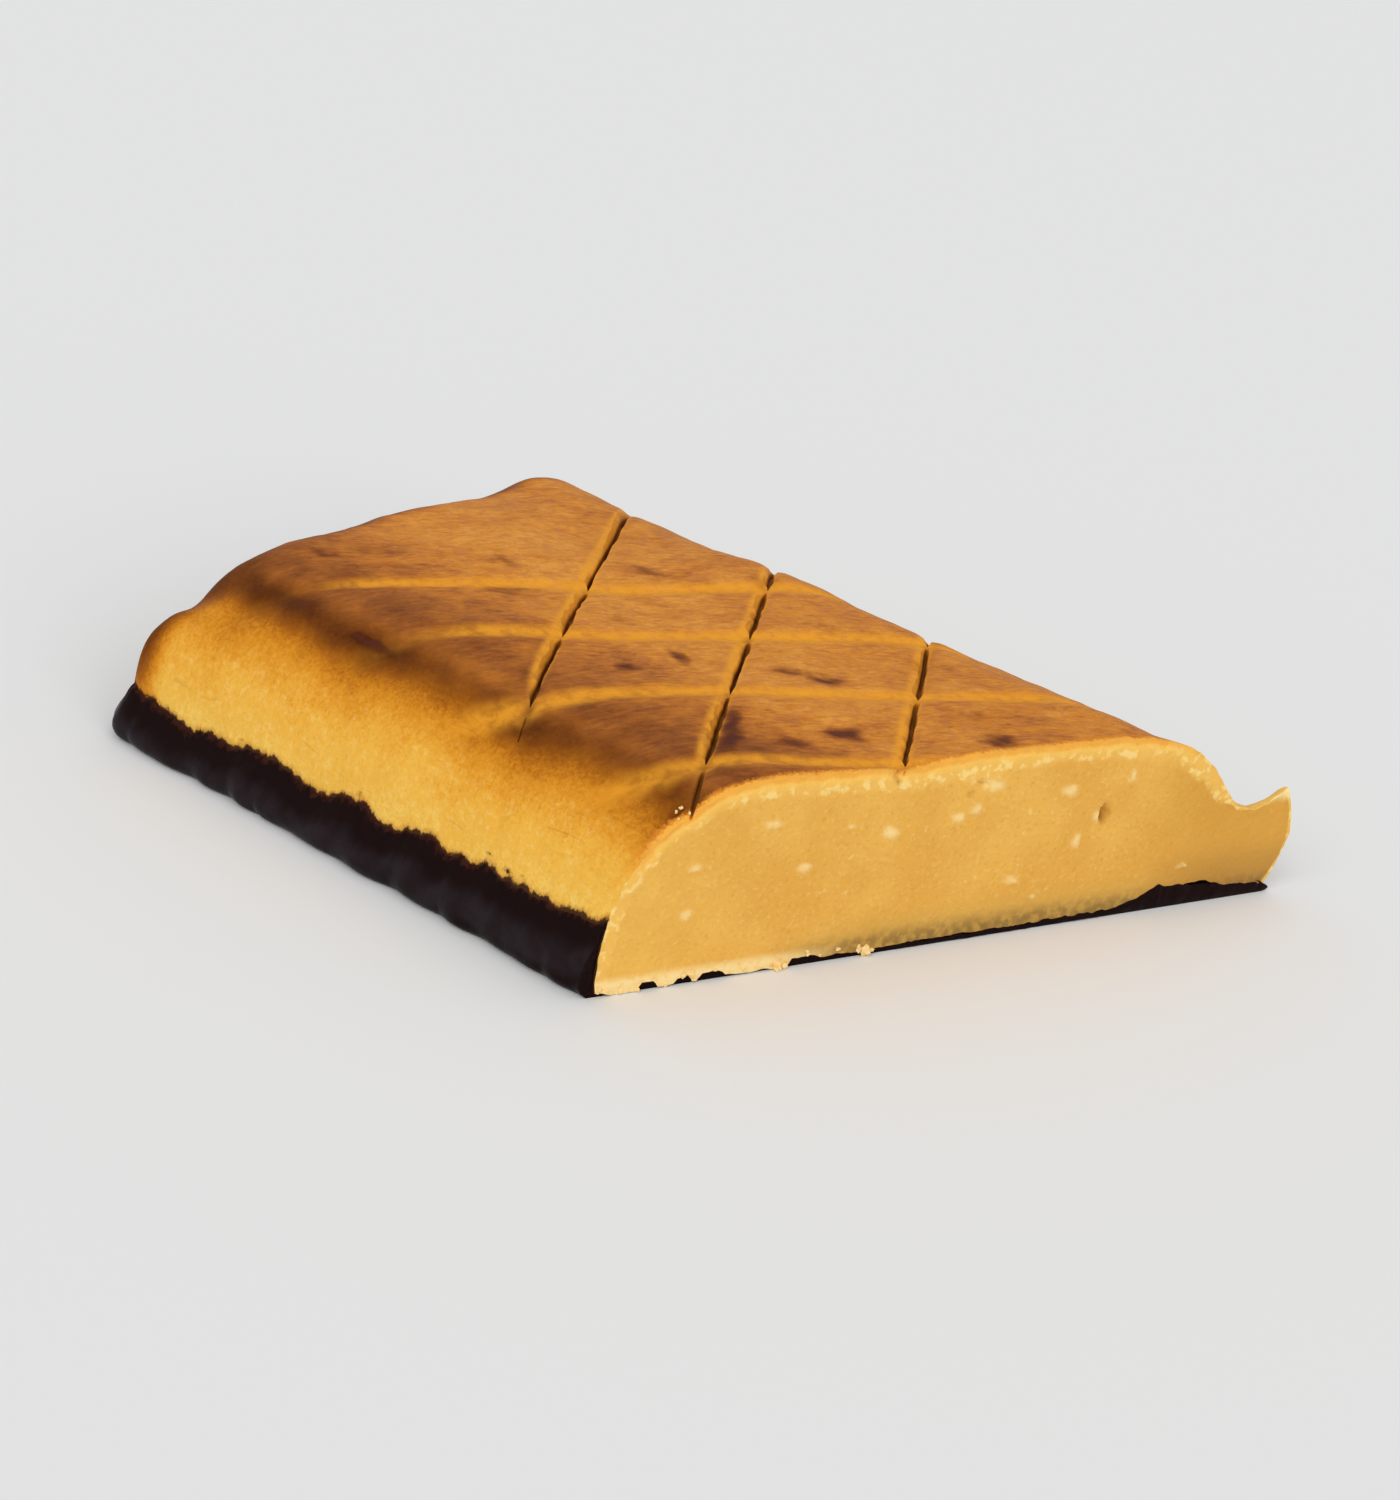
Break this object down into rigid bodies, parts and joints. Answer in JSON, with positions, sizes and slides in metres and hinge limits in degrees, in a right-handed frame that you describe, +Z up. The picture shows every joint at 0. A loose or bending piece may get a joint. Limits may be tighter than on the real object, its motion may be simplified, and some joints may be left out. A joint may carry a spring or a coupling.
{
  "type": "marzipan loaf",
  "caption": "Slant-cut part of a flamed marzipan loaf with a diamond-scored toasted top, standing in a shallow coat of dark chocolate.",
  "frame": {"origin": "middle of the bounding box in plan, on the surface the loaf stands on", "axes": "+X along the loaf towards the cut, +Y across the loaf away from the short side, +Z up"},
  "size_m": [0.0878, 0.0676, 0.0188],
  "materials": {
    "marzipan": "toasted golden to caramel brown on the outside, pale straw and fine-grained at the cut",
    "dark_chocolate": "satin, near-black brown"
  },
  "bodies": {
    "root": {"marzipan": "marzipan", "chocolate_coat": "dark_chocolate"}
  },
  "joints": []
}
